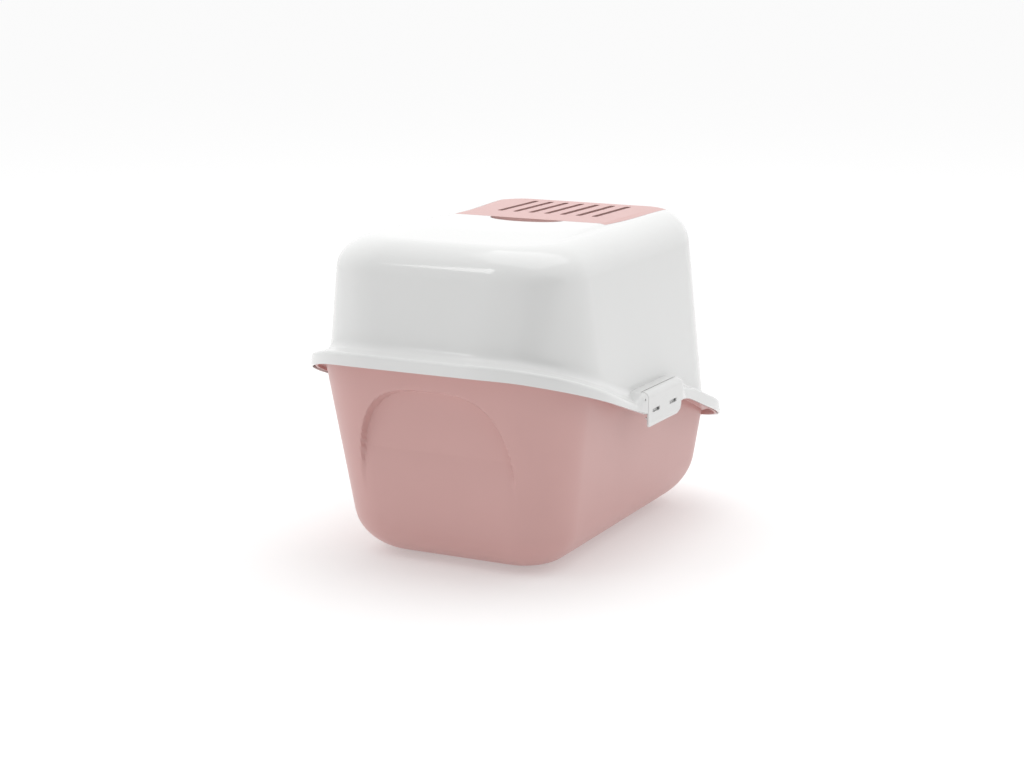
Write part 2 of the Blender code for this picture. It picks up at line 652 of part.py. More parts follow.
def make_door():
    # the frame: a tunnel through the wall and a rim that lies on the wall's sloping face
    frame = part("door_frame", plate_mesh(entrance_outline(0.0), 0.110, upright(DOOR_INNER_Y - 0.055)),
                 WHITE_PLASTIC)
    lean = atan((hood_front_y(DOOR_Z[1]) - hood_front_y(DOOR_Z[0])) / (DOOR_Z[1] - DOOR_Z[0]))
    middle_z = (DOOR_Z[0] + DOOR_Z[1]) / 2
    tilt = Matrix.Translation((0.0, hood_front_y(middle_z), middle_z)) @ Matrix.Rotation(-lean, 4, "X")
    tilt = tilt @ Matrix.Rotation(pi / 2, 4, "X")
    stretch = 1 / cos(lean)
    rim = [(x, (z - middle_z) * stretch) for x, z in entrance_outline(-RIM_WIDE)]
    join(frame, plate_mesh(rim, RIM_THICK, tilt @ lying(GAP + RIM_THICK / 2)))
    cut(frame, box_mesh_at(tilt @ lying(RIM_THICK + 0.100), 0.400, 0.400, 0.200))
    cut(frame, plate_mesh(entrance_outline(WALL), 0.300, upright(DOOR_INNER_Y - 0.050)))
    roof = DOOR_Z[1] - WALL
    for side in (-1, 1):
        inner, outer = sorted((side * LUG_X[0], side * LUG_X[1]))
        join(frame, box_mesh((inner, FLAP_Y - 0.005, FLAP_AXIS_Z - 0.004),
                             (outer, FLAP_Y + 0.005, roof + 0.0008)))
    axis = ((-LUG_X[1] - 0.001, FLAP_Y, FLAP_AXIS_Z), (LUG_X[1] + 0.001, FLAP_Y, FLAP_AXIS_Z))
    cut(frame, rod_mesh(*axis, PIN_RADIUS + BORE_CLEAR, 12))
    flap = part("door_flap", plate_mesh(entrance_outline(WALL + FLAP_CLEAR), FLAP_THICK, upright(FLAP_Y)),
                CLEAR_PLASTIC)
    barrel, radius = FLAP_BARREL
    for side in (-1, 1):
        inner, outer = sorted((side * (barrel + 0.0015), side * 0.200))
        cut(flap, box_mesh((inner, FLAP_Y - 0.02, FLAP_AXIS_Z - 0.008),
                           (outer, FLAP_Y + 0.02, FLAP_AXIS_Z + 0.02)))
    join(flap, rod_mesh((-barrel, FLAP_Y, FLAP_AXIS_Z), (barrel, FLAP_Y, FLAP_AXIS_Z), radius))
    for side, name in ((-1, "left"), (1, "right")):
        inner = Vector((side * PIN_X[0], FLAP_Y, FLAP_AXIS_Z))
        outer = Vector((side * PIN_X[1], FLAP_Y, FLAP_AXIS_Z))
        spare = Vector((side * 0.001, 0.0, 0.0))
        cut(flap, rod_mesh(inner - spare, outer, PIN_RADIUS + BORE_CLEAR, 12))
        part(f"door_pin_{name}", rod_mesh(inner, outer, PIN_RADIUS, 12), GREY_PLASTIC)


make_tray()
make_feet()
make_hood()
make_clips()
make_vent_cover()
make_filter()
make_door()
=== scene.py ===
import json
from math import cos, pi, radians, sin, sqrt

import bmesh
import bpy
from mathutils import Matrix, Vector
from mathutils.geometry import interpolate_bezier


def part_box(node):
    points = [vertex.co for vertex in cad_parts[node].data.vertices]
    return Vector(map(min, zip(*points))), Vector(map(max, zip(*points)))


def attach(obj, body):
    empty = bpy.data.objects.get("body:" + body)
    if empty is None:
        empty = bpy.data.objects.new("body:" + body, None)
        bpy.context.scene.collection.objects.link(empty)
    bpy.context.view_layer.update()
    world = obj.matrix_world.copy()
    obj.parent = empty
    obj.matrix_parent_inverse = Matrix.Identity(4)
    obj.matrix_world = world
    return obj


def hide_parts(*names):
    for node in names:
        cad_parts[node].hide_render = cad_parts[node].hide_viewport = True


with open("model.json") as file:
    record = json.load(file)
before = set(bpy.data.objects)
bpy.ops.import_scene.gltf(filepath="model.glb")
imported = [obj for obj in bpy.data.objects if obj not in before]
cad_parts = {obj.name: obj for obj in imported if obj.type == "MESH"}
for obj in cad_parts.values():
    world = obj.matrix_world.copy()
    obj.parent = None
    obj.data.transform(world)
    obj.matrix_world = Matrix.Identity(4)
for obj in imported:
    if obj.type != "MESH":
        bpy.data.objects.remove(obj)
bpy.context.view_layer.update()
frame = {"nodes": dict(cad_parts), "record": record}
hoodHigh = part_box("hood_shell")[1]
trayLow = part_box("litter_tray")[0]
clipLow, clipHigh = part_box("clip_left")
rodLow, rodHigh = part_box("clip_rod_left")
hinges = {joint["name"]: Vector(joint["pos_m"]) for joint in frame["record"]["behaviour"]["joints"]
          if joint["type"] == "hinge"}
top = hoodHigh.z

shared = {  # metres, and heights that change from the entrance, -y, to the closed back
    "wall": 0.0025,
    "gap": 0.0003,  # play around the cover, the clips and the door frame
    "parting": ((-0.280, 0.102), (-0.196, 0.1275), (-0.062, 0.176), (0.054, 0.176), (0.280, 0.2525)),
    "partingEase": 0.016,  # how far the bends of that line are rounded
    "band": ((-0.280, 0.0165), (-0.090, 0.0165), (-0.055, 0.0075), (0.110, 0.0075), (0.235, 0.0150)),
    "foot": ((-0.280, 0.024), (-0.200, 0.019), (0.280, 0.019)),
    "flangeRadius": 0.130,
}


def along(line, at):  # the height of a bent line at one place
    if at <= line[0][0]:
        return line[0][1]
    for (first, low), (last, high) in zip(line, line[1:]):
        if at <= last:
            return low + (high - low) * (at - first) / (last - first)
    return line[-1][1]


def smooth(low, high, value):  # 0 to 1 with soft ends
    share = min(max((value - low) / (high - low), 0.0), 1.0)
    return share * share * (3 - 2 * share)


def partingHeight(y):  # lower edge of the hood, its bends eased
    ease = shared["partingEase"]
    return sum(along(shared["parting"], y + ease * step / 4) for step in range(-4, 5)) / 9


# a level section, a rectangle with round corners, always with the same points in the same order
def sectionPoints(half, back, front, radius, density, frontRadius=None):
    corners = ((1, 1), (-1, 1), (-1, -1), (1, -1))
    ends = {1: back, -1: front}
    radii = (radius, radius, frontRadius or radius, frontRadius or radius)
    arcs = (density["backCorner"],) * 2 + (density["frontCorner"],) * 2
    straights = (density["back"], density["side"], density["front"], density["side"])
    lean = density.get("lean", 1.0)  # above one, points crowd towards the ends of the back

    def arcPoint(corner, share):
        side, end = corners[corner]
        centre = Vector((side * (half - radii[corner]), ends[end] - end * radii[corner]))
        if corner == 0:
            share = 1 - (1 - share) ** lean
        elif corner == 1:
            share = share ** lean
        angle = pi / 2 * (corner + share)
        return centre + radii[corner] * Vector((cos(angle), sin(angle)))

    points = []
    for turn in range(4):
        points.extend(arcPoint(turn, step / arcs[turn]) for step in range(arcs[turn] + 1))
        last, following = points[-1], arcPoint((turn + 1) % 4, 0.0)
        for step in range(1, straights[turn]):
            share = step / straights[turn]
            if turn == 0 and lean > 1.0:
                share = 0.5 - 0.5 * cos(pi * share)
            points.append(last.lerp(following, share))
    return points


def flangePoints(inset, density):  # the hood's outer edge, moved in
    half, length = hoodHigh.x - inset, hoodHigh.y - inset
    return sectionPoints(half, length, -length, shared["flangeRadius"] - inset / 2, density)


def softPath(points, cuts, steps):  # a polyline whose inner corners are turned by curves
    path = [points[0]]
    for corner, before, after, reach in zip(points[1:-1], points, points[2:], cuts):
        reach = min(reach, 0.45 * (before - corner).length, 0.45 * (after - corner).length)
        start = corner + (before - corner).normalized() * reach
        end = corner + (after - corner).normalized() * reach
        path.extend(interpolate_bezier(start, corner.lerp(start, 0.4), corner.lerp(end, 0.4), end, steps))
    path.append(points[-1])
    return path


def growSkin(rings):  # one ring of edges, extruded from ring to ring
    bm = bmesh.new()
    ring = [bm.verts.new(point) for point in rings[0]]
    edges = [bm.edges.new(pair) for pair in zip(ring, ring[1:] + ring[:1])]
    first = list(edges)
    for points in rings[1:]:
        made = bmesh.ops.extrude_edge_only(bm, edges=edges)["geom"]
        fresh = {item for item in made if isinstance(item, bmesh.types.BMVert)}
        ring = [next(edge.other_vert(vert) for edge in vert.link_edges if edge.other_vert(vert) in fresh)
                for vert in ring]
        for vert, point in zip(ring, points):
            vert.co = point
        edges = [bm.edges.get(pair) for pair in zip(ring, ring[1:] + ring[:1])]
    return bm, first, edges


def closeRing(bm, edges):
    return bmesh.ops.contextual_create(bm, geom=edges)["faces"][0]


def faceOut(bm):
    bmesh.ops.recalc_face_normals(bm, faces=bm.faces)


def prism(outline, thickness, place):  # a flat outline given a thickness along its own Z
    bm = bmesh.new()
    verts = [bm.verts.new((x, y, -thickness / 2)) for x, y in outline]
    edges = [bm.edges.new(pair) for pair in zip(verts, verts[1:] + verts[:1])]
    raised = bmesh.ops.extrude_face_region(bm, geom=[closeRing(bm, edges)])["geom"]
    moved = [item for item in raised if isinstance(item, bmesh.types.BMVert)]
    bmesh.ops.translate(bm, verts=moved, vec=(0.0, 0.0, thickness))
    faceOut(bm)
    bm.transform(place)
    return bm


def upright(y):  # stands a flat outline in an XZ plane
    return Matrix.Translation((0.0, y, 0.0)) @ Matrix.Rotation(pi / 2, 4, "X")


def sideways(x):  # stands a flat outline of (y, z) in a YZ plane
    turn = Matrix.Rotation(pi / 2, 4, "Z") @ Matrix.Rotation(pi / 2, 4, "X")
    return Matrix.Translation((x, 0.0, 0.0)) @ turn


def lying(z):  # lays a flat outline level
    return Matrix.Translation((0.0, 0.0, z))


def rounded(corners, steps=10):  # an outline from (x, y, radius) corners
    outline = []
    for index, (x, y, radius) in enumerate(corners):
        corner = Vector((x, y))
        if not radius:
            outline.append(corner)
            continue
        before = (Vector(corners[index - 1][:2]) - corner).normalized()
        after = (Vector(corners[(index + 1) % len(corners)][:2]) - corner).normalized()
        half = before.angle(after) / 2
        centre = corner + (before + after).normalized() * radius / sin(half)
        start = corner + before * radius * cos(half) / sin(half) - centre
        end = corner + after * radius * cos(half) / sin(half) - centre
        sweep = start.angle_signed(end)
        outline.extend(centre + Matrix.Rotation(-sweep * step / steps, 2) @ start
                       for step in range(steps + 1))
    return outline


def block(low, high):
    bm = bmesh.new()
    low, high = Vector(low), Vector(high)
    place = Matrix.Translation((low + high) / 2) @ Matrix.Diagonal((*(high - low), 1.0))
    bmesh.ops.create_cube(bm, size=1.0, matrix=place)
    return bm


def rod(start, end, radius, sides=32):
    bm = bmesh.new()
    start, end = Vector(start), Vector(end)
    turn = Vector((0.0, 0.0, 1.0)).rotation_difference(end - start).to_matrix().to_4x4()
    bmesh.ops.create_cone(bm, cap_ends=True, segments=sides, radius1=radius, radius2=radius,
                          depth=(end - start).length, matrix=Matrix.Translation((start + end) / 2) @ turn)
    return bm


def toObject(name, bm):
    mesh = bpy.data.meshes.new(name)
    bm.to_mesh(mesh)
    bm.free()
    made = bpy.data.objects.new(name, mesh)
    bpy.context.scene.collection.objects.link(made)
    return made


def combine(piece, tool, operation):  # applied at once, and the tool removed
    step = piece.modifiers.new(operation, "BOOLEAN")
    step.operation = operation
    step.object = tool
    bakeModifiers(piece)
    bpy.data.objects.remove(tool, do_unlink=True)


def bakeModifiers(piece):  # what the modifiers show becomes the mesh
    graph = bpy.context.evaluated_depsgraph_get()
    finished = bpy.data.meshes.new_from_object(piece.evaluated_get(graph))
    piece.modifiers.clear()
    piece.data = finished


def thicken(piece, thickness):  # a wall inwards from an open skin
    wall = piece.modifiers.new("wall", "SOLIDIFY")
    wall.thickness = thickness
    wall.offset = -1.0
    wall.use_even_offset = True
    bakeModifiers(piece)


def finishPiece(piece, finish, body, slot, *replaced, sharp=35):
    piece.data.materials.clear()
    piece.data.materials.append(finish)
    piece.data.shade_smooth()
    piece.data.set_sharp_from_angle(angle=radians(sharp))
    normals = piece.modifiers.new("normals", "WEIGHTED_NORMAL")
    normals.keep_sharp = True
    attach(piece, body)
    if replaced:
        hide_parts(*replaced)
    print("made", piece.name, len(piece.data.polygons), "faces")


class Link:  # a socket whose + - and * add Math nodes
    def __init__(self, nodes, socket):
        self.nodes = nodes
        self.socket = socket

    def math(self, operation, left, right):
        return self.nodes.node("ShaderNodeMath", {"operation": operation}, {0: left, 1: right})

    def __add__(self, other):
        return self.math("ADD", self, other)

    def __radd__(self, other):
        return self.math("ADD", other, self)

    def __sub__(self, other):
        return self.math("SUBTRACT", self, other)

    def __rsub__(self, other):
        return self.math("SUBTRACT", other, self)

    def __mul__(self, other):
        return self.math("MULTIPLY", self, other)

    def __rmul__(self, other):
        return self.math("MULTIPLY", other, self)


class Nodes:  # makes and joins the nodes of one tree
    def __init__(self, owner):
        owner.use_nodes = True
        self.tree = owner.node_tree

    def node(self, kind, settings=None, values=None, output=0):
        made = self.tree.nodes.new(kind)
        for key, value in (settings or {}).items():
            setattr(made, key, value)
        for key, value in (values or {}).items():
            self.feed(made.inputs[key], value)
        return Link(self, made.outputs[output])

    def feed(self, socket, value):
        if isinstance(value, Link):
            self.tree.links.new(value.socket, socket)
        else:
            socket.default_value = value


class Finish(Nodes):
    def __init__(self, name):
        self.material = bpy.data.materials.new(name)
        super().__init__(self.material)
        self.shader = self.tree.nodes["Principled BSDF"]

    def set(self, **values):  # Base_Color stands for the socket Base Color
        for key, value in values.items():
            self.feed(self.shader.inputs[key.replace("_", " ")], value)

    def place(self):
        return self.node("ShaderNodeTexCoord", output="Object")

    def noise(self, scale, detail=2.0, roughness=0.5):
        values = {"Vector": self.place(), "Scale": scale, "Detail": detail, "Roughness": roughness}
        return self.node("ShaderNodeTexNoise", None, values)

    def blend(self, share, low, high):
        values = {"Factor": share, 6: (*low, 1.0), 7: (*high, 1.0)}
        return self.node("ShaderNodeMix", {"data_type": "RGBA"}, values, output=2)

    def bump(self, height, distance, strength=1.0):
        values = {"Height": height, "Distance": distance, "Strength": strength}
        self.set(Normal=self.node("ShaderNodeBump", None, values))


finishes = {  # colours drift between low and high, and depths are in metres
    "pink": {"low": (0.600, 0.352, 0.332), "high": (0.640, 0.384, 0.364), "roughness": 0.36,
             "driftScale": 9.0, "wearScale": 55.0, "wear": 0.05, "grainScale": 1500, "grainDeep": 0.00004},
    "white": {"low": (0.735, 0.738, 0.732), "high": (0.765, 0.768, 0.762), "roughness": 0.085,
              "driftScale": 6.0, "flowScale": 14.0, "flowDeep": 0.00025, "hazeScale": 120.0},
    "clear": {"tint": (0.56, 0.53, 0.53), "roughness": 0.12, "alpha": 0.55, "hazeScale": 160.0,
              "cloudScale": 30.0},
    "grey": {"low": (0.045, 0.043, 0.043), "high": (0.065, 0.062, 0.062), "roughness": 0.42,
             "driftScale": 30.0, "grainScale": 1300.0, "grainDeep": 0.00004},
    "foam": {"low": (0.008, 0.008, 0.009), "high": (0.035, 0.035, 0.038), "cellScale": 420,
             "cellDeep": 0.0006},
    # the feet's near-black red-brown is painted shade: it stands in for the contact shade under the tray
    "footShade": {"low": (0.045, 0.024, 0.020), "high": (0.075, 0.040, 0.034), "roughness": 0.72,
               "grainScale": 700.0, "grainDeep": 0.00008},
    "floor": {"tone": (0.70, 0.70, 0.70), "glow": 0.30},
}


def satinPink():
    values = finishes["pink"]
    finish = Finish("satin pink plastic")
    drift = finish.noise(values["driftScale"], 3.0)
    grain = finish.noise(values["grainScale"], 2.0, 0.6)
    wear = finish.noise(values["wearScale"], 4.0, 0.65)
    finish.set(Base_Color=finish.blend(drift, values["low"], values["high"]),
               Roughness=values["roughness"] + values["wear"] * (wear - 0.5) + 0.06 * (grain - 0.5),
               IOR=1.49, Specular_IOR_Level=0.45)
    finish.bump(grain, values["grainDeep"], 0.55)
    return finish.material


def glossWhite():
    values = finishes["white"]
    finish = Finish("gloss white plastic")
    drift = finish.noise(values["driftScale"])
    flow = finish.noise(values["flowScale"], 2.0, 0.4)  # the faint waviness of a moulded face
    haze = finish.noise(values["hazeScale"], 3.0, 0.6)
    finish.set(Base_Color=finish.blend(drift, values["low"], values["high"]),
               Roughness=values["roughness"] + 0.03 * (haze - 0.5), IOR=1.50)
    finish.bump(flow, values["flowDeep"], 0.25)
    return finish.material


def smokyClear():
    values = finishes["clear"]
    finish = Finish("smoky clear plastic")
    haze = finish.noise(values["hazeScale"], 3.0, 0.6)
    finish.set(Base_Color=(*values["tint"], 1.0), Roughness=values["roughness"] + 0.05 * haze, IOR=1.50,
               Alpha=values["alpha"] + 0.08 * finish.noise(values["cloudScale"]))
    return finish.material


def mouldedGrey():
    values = finishes["grey"]
    finish = Finish("moulded grey plastic")
    grain = finish.noise(values["grainScale"], 2.0, 0.6)
    finish.set(Base_Color=finish.blend(finish.noise(values["driftScale"]), values["low"], values["high"]),
               Roughness=values["roughness"] + 0.08 * (grain - 0.5))
    finish.bump(grain, values["grainDeep"], 0.5)
    return finish.material


def carbonFoam():
    values = finishes["foam"]
    finish = Finish("carbon foam")
    cell = finish.node("ShaderNodeTexVoronoi", None, {"Vector": finish.place(), "Scale": values["cellScale"]})
    finish.set(Base_Color=finish.blend(cell, values["low"], values["high"]), Roughness=0.95)
    finish.bump(cell, values["cellDeep"])
    return finish.material


# painted shade: a near-black red-brown for the feet in place of the contact shade they sit in
def paintedFootShade():
    values = finishes["footShade"]
    finish = Finish("painted foot shade")
    grain = finish.noise(values["grainScale"], 3.0, 0.6)
    finish.set(Base_Color=finish.blend(grain, values["low"], values["high"]),
               Roughness=values["roughness"] + 0.1 * grain)
    finish.bump(grain, values["grainDeep"], 0.6)
    return finish.material


pink = satinPink()
white = glossWhite()
clear = smokyClear()
grey = mouldedGrey()
foam = carbonFoam()
footShade = paintedFootShade()
print("materials ready")

tray = {
    "density": {"back": 92, "backCorner": 32, "side": 30, "frontCorner": 14, "front": 10, "lean": 1.7},
    "floorZ": trayLow.z,
    "top": (0.1744, 0.2520, 0.2527),  # half width, reach of the back wall, and the height of both
    "sideDraft": 0.14,
    "backDraft": 0.19,
    "front": (-0.2621, 0.1275),  # the front wall's y, and its height
    "frontDraft": 0.17,
    "radii": ((0.0, 0.057), (0.200, 0.079), (0.260, 0.086)),  # corners, by height
    "bottomRound": ((-0.240, 0.062), (0.200, 0.048)),
    "bottomRows": 16,
    "brimInset": 0.0068,
    "brimUnder": 0.0068,
    "brimEdge": 0.0024,
    "brimFollows": 0.75,  # how much of the change in the hood's band the brim takes part in
    "brimLip": 0.0005,
    "brimCuts": (0.0030, 0.0012),
    "rows": 120,
    "arch": {"half": 0.103, "foot": 0.080, "top": 0.223, "power": 3.1, "deep": 0.0125, "edge": 0.0036},
}


def traySection(z, inset=0.0):  # the tray's outside at one height
    half, back, height = tray["top"]
    front, frontZ = tray["front"]
    half += tray["sideDraft"] * (z - height) - inset
    back += tray["backDraft"] * (z - height) - inset
    front += tray["frontDraft"] * (frontZ - z) + inset
    radius = max(along(tray["radii"], z) - 0.6 * inset, 0.012)  # the floor keeps round corners
    return sectionPoints(half, back, front, radius, tray["density"])


def archDepth(x, z):  # an arch pressed into the back wall, deepest under its crown, nothing at its foot
    arch = tray["arch"]
    rise = (z - arch["foot"]) / (arch["top"] - arch["foot"])
    if rise <= 0.0:
        return 0.0
    gauge = (abs(x / arch["half"]) ** arch["power"] + rise ** arch["power"]) ** (1 / arch["power"])
    if gauge >= 1.0:
        return 0.0
    inside = sqrt(x * x + (z - arch["foot"]) ** 2) * (1 / max(gauge, 0.01) - 1)
    deep = arch["deep"] * smooth(-0.25, 1.0, rise) * min(rise * 2.2, 1.0)
    return deep * smooth(0.0, arch["edge"], inside)


def rimBeside(y, reach):  # the parting beside a point of the wall, which stands inside the flange
    straight = hoodHigh.y - shared["flangeRadius"]
    beyond = max(abs(y) - straight, 0.0) * shared["flangeRadius"] / (reach - straight)
    edge = min(abs(y), straight) + beyond
    return partingHeight(edge if y > 0 else -edge)


def trayRings():  # for every ring, the point's number, height and inset
    density = tray["density"]
    rims = [partingHeight(point.y) for point in flangePoints(0.0, density)]
    rounds = [along(tray["bottomRound"], point.y) for point in traySection(tray["floorZ"])]
    rings = []
    for step in range(tray["bottomRows"] + 1):
        angle = pi / 2 * step / tray["bottomRows"]
        rings.append([(index, tray["floorZ"] + turn * (1 - cos(angle)), turn * (1 - sin(angle)))
                      for index, turn in enumerate(rounds)])
    walls = []
    for index, rim in enumerate(rims):
        z = rim + tray["brimUnder"]
        y = traySection(z)[index].y
        reach = tray["top"][1] + tray["backDraft"] * (z - tray["top"][2])
        if y < 0:
            reach = -tray["front"][0] - tray["frontDraft"] * (tray["front"][1] - z)
        walls.append(rimBeside(y, reach) + tray["brimUnder"])
    for row in range(1, tray["rows"] + 1):
        share = row / tray["rows"]
        rings.append([(index, tray["floorZ"] + turn + share * (walls[index] - tray["floorZ"] - turn), 0.0)
                      for index, turn in enumerate(rounds)])
    return rings, rims


def sampleSections(rings):  # each section is worked out once, to a hundredth of a millimetre
    known = {}

    def at(z, inset):
        key = (round(z, 5), round(inset, 5))
        if key not in known:
            known[key] = traySection(*key)
        return known[key]

    placed = []
    for ring in rings:
        points = []
        for index, z, inset in ring:
            point = at(z, inset)[index]
            y = point.y - (archDepth(point.x, z) if point.y > 0.15 else 0.0)
            points.append(Vector((point.x, y, z)))
        placed.append(points)
    return placed


def makeTray():
    rings, rims = trayRings()
    placed = sampleSections(rings)
    edge = flangePoints(tray["brimInset"], tray["density"])
    sideBand = along(shared["band"], 0.0)
    ends = []
    for index, (point, rim) in enumerate(zip(edge, rims)):
        follow = tray["brimFollows"] * (along(shared["band"], point.y) - sideBand)
        brim = Vector((*point, rim + tray["brimEdge"] + follow))
        lip = Vector((*point, rim + tray["brimLip"]))
        ends.append(softPath([placed[-4][index], placed[-1][index], brim, lip], tray["brimCuts"], 5))
    placed = placed[:-3]  # the path above takes the place of the last three rows
    placed.extend([path[step] for path in ends] for step in range(1, len(ends[0])))
    bm, first, _ = growSkin(placed)
    closeRing(bm, first)
    faceOut(bm)
    piece = toObject("tray_body", bm)
    if min(piece.data.polygons, key=lambda face: face.center.z).normal.z > 0:  # the floor looks down
        piece.data.flip_normals()
    thicken(piece, shared["wall"])
    finishPiece(piece, pink, "tray", "pink_plastic", "litter_tray", sharp=40)


makeTray()

hood = {
    "density": {"back": 14, "backCorner": 26, "side": 60, "frontCorner": 26, "front": 14},
    "flangeOut": 0.020,
    "shoulder": (0.1617, 0.2413, -0.212, 0.353),  # half width, back, front and height
    "shoulderRadii": (0.088, 0.088),
    "roundIn": (0.050, 0.028),  # from the shoulder in to the crown, at the back and sides, and in front
    "roundness": 0.55,
    "topRadii": (0.060, 0.028),
    "landing": (0.100, 0.104, -0.181, 0.0995, 0.020),  # the flat part of the top, with its two radii
    "landingDrop": 0.0026,
    "turns": (0.0036, 0.0090),  # at the flange's edge, and at the foot of the wall
    "rows": {"turn": 6, "wall": 22, "round": 24, "top": 6},
}
vent = {
    "back": -0.008,
    "front": -0.186,
    "half": (0.106, 0.117),  # at the back, and in front
    "corner": 0.016,
    "slots": 7,
    "pitch": 0.0220,
    "slot": (0.0080, -0.168, -0.060),  # width, start and end
    "grip": (0.050, 0.027, 0.014),  # half width, reach and depth of the finger pocket
    "seatDrop": 0.0088,
    "seatWide": 0.010,
    "riser": (0.0012, 0.0040, 0.0034),  # its two faces outside the cover, and its drop
    "seatFront": -0.130,
    "hingeRoom": (0.0034, 0.0038, 0.0005),  # round the barrel, in front of it, and at its ends
    "barrel": (0.055, 0.0027),
    "lip": (0.0022, 0.0008),
}
door = {
    "half": 0.1135,
    "z": (0.138, 0.318),
    "corners": (0.018, 0.014),  # low and high
    "cut": (0.110, -0.225),  # how long the cut through the front wall is, and its middle
}


def hoodRings(depth=0.0):  # from the lower edge over the shoulder to the flat of the top
    density, rows = hood["density"], hood["rows"]
    half, back, front, shoulderZ = hood["shoulder"]
    edge = flangePoints(depth, density)
    rims = [partingHeight(point.y) for point in flangePoints(0.0, density)]
    bandTop = flangePoints(0.001 + depth, density)
    foot = flangePoints(hood["flangeOut"] + depth, density)
    shoulder = sectionPoints(half - depth, back - depth, front + depth, hood["shoulderRadii"][0], density,
                             hood["shoulderRadii"][1])
    inner, frontInner = hood["roundIn"]
    crown = sectionPoints(half - inner, back - inner, front + frontInner, hood["topRadii"][0], density,
                          hood["topRadii"][1])
    landing = sectionPoints(*hood["landing"][:4], density, hood["landing"][4])
    paths = []
    for index, rim in enumerate(rims):
        low = Vector((*edge[index], rim))
        band = Vector((*bandTop[index], rim + along(shared["band"], bandTop[index].y) - depth))
        base = Vector((*foot[index], rim + along(shared["foot"], foot[index].y) - depth))
        high = Vector((*shoulder[index], shoulderZ))
        path = softPath([low, band, base, high], hood["turns"], rows["turn"])[:-1]
        start = path[-1]
        path.extend(start.lerp(high, step / rows["wall"]) for step in range(1, rows["wall"]))
        outside = smooth(0.0, 0.06, (crown[index] - landing[index]).length)
        end = Vector((*crown[index], top - depth - hood["landingDrop"] * outside))
        slope = (high - base) / (high.z - base.z)
        inward = Vector((high.x - end.x, high.y - end.y, 0.0)) * hood["roundness"]
        rise = slope * (end.z - high.z) * hood["roundness"]
        path.extend(interpolate_bezier(high, high + rise, end + inward, end, rows["round"]))
        flat = Vector((*landing[index], top - depth))
        path.extend(end.lerp(flat, step / rows["top"]) for step in range(1, rows["top"] + 1))
        paths.append(path)
    return [[path[step] for path in paths] for step in range(len(paths[0]))]


def shellOfHood(name):  # the hood's whole outside with its wall, which the cover is cut from too
    bm, _, last = growSkin(hoodRings())
    closeRing(bm, last)
    faceOut(bm)
    shell = toObject(name, bm)
    if max(shell.data.polygons, key=lambda face: face.center.z).normal.z < 0:  # the top looks up
        shell.data.flip_normals()
    thicken(shell, shared["wall"])
    return shell


def hoodCore():  # a closed solid just inside the wall, which trims what is added outside it
    rings = hoodRings(shared["wall"] / 2)
    rings.insert(0, [Vector((x, y, z - 0.040)) for x, y, z in rings[0]])
    bm, first, last = growSkin(rings)
    closeRing(bm, first)
    closeRing(bm, last)
    faceOut(bm)
    return toObject("core", bm)


def ventOutline(margin):  # the cover from above, grown by a margin
    near, far = vent["half"]
    back, front, turn = vent["back"] + margin, vent["front"] - margin, vent["corner"] + margin
    return rounded([(near + margin, back, 0.002 + margin), (-near - margin, back, 0.002 + margin),
                    (-far - margin, front, turn), (far + margin, front, turn)], 8)


def gripOutline(margin):  # the half-moon pocket behind the cover
    half, reach, _ = vent["grip"]
    start = vent["back"]
    outline = [Vector((half + margin, start - 0.0015))]
    for step in range(41):
        angle = pi * step / 40
        outline.append(Vector(((half + margin) * cos(angle), start + (reach + margin) * sin(angle))))
    outline.append(Vector((-half - margin, start - 0.0015)))
    return outline


def doorOutline(inset):  # the entrance seen from the front, as (x, z), moved in by inset
    half = door["half"] - inset
    low, high = door["z"][0] + inset, door["z"][1] - inset
    lowTurn, highTurn = (max(turn - inset, 0.004) for turn in door["corners"])
    return rounded([(half, low, lowTurn), (half, high, highTurn), (-half, high, highTurn),
                    (-half, low, lowTurn)], 10)


clips = {
    "y": (clipLow.y, clipHigh.y),
    "axisX": abs(hinges["clip_left_hinge"].x),
    "axisZ": hinges["clip_left_hinge"].z,
    "round": 0.0076,  # the rolled head around the rod
    "head": radians(112),
    "bottom": 0.163,
    "wall": 0.0021,
    "corners": (0.017, 0.009),  # the lower ones, towards the entrance and towards the back
    "slots": (0.040, -0.011),
    "slotZ": 0.1817,
    "slotSize": (0.021, 0.0046, 0.0012),
    "edge": 0.0004,
    "seatTop": 0.2058,
    "seatInner": 0.168,
    "seatEnds": (0.024, 0.036),  # how far the housing fades out along the flange
    "seatRise": (0.022, 0.036),
    "seatRound": 0.0074,
    "seatSteps": 56,
    "proud": 0.0024,
    "room": (0.170, 0.215, 0.210, 0.0030),  # low, high and outer side of the clip's room, and its step
    "bore": 0.002,
    "window": (0.0015, 0.005),
}


def clipSeat(side):  # a clip's housing, lofted along the flange: a low rise that fades out at both ends
    low, high = clips["y"][0] - clips["seatEnds"][0], clips["y"][1] + clips["seatEnds"][1]
    outer, inner = hoodHigh.x - 0.0002, clips["seatInner"]
    rings = []
    for step in range(clips["seatSteps"] + 1):
        y = low + (high - low) * step / clips["seatSteps"]
        base = partingHeight(y) + along(shared["band"], y) - 0.0008
        bottom = partingHeight(y) + 0.0010
        rise = smooth(low, low + clips["seatRise"][0], y) * (1 - smooth(high - clips["seatRise"][1], high, y))
        height = base + (clips["seatTop"] - base) * rise
        turn = min(clips["seatRound"], 0.8 * (height - bottom))
        face = outer + rise * clips["proud"]
        ring = [(inner, bottom), (face, bottom)]
        for part in range(9):
            angle = pi / 2 * part / 8
            ring.append((face - turn + turn * cos(angle), height - turn + turn * sin(angle)))
        ring.append((inner, height))
        rings.append([Vector((side * x, y, z)) for x, z in ring])
    bm, first, last = growSkin(rings)
    closeRing(bm, first)
    closeRing(bm, last)
    faceOut(bm)
    return bm


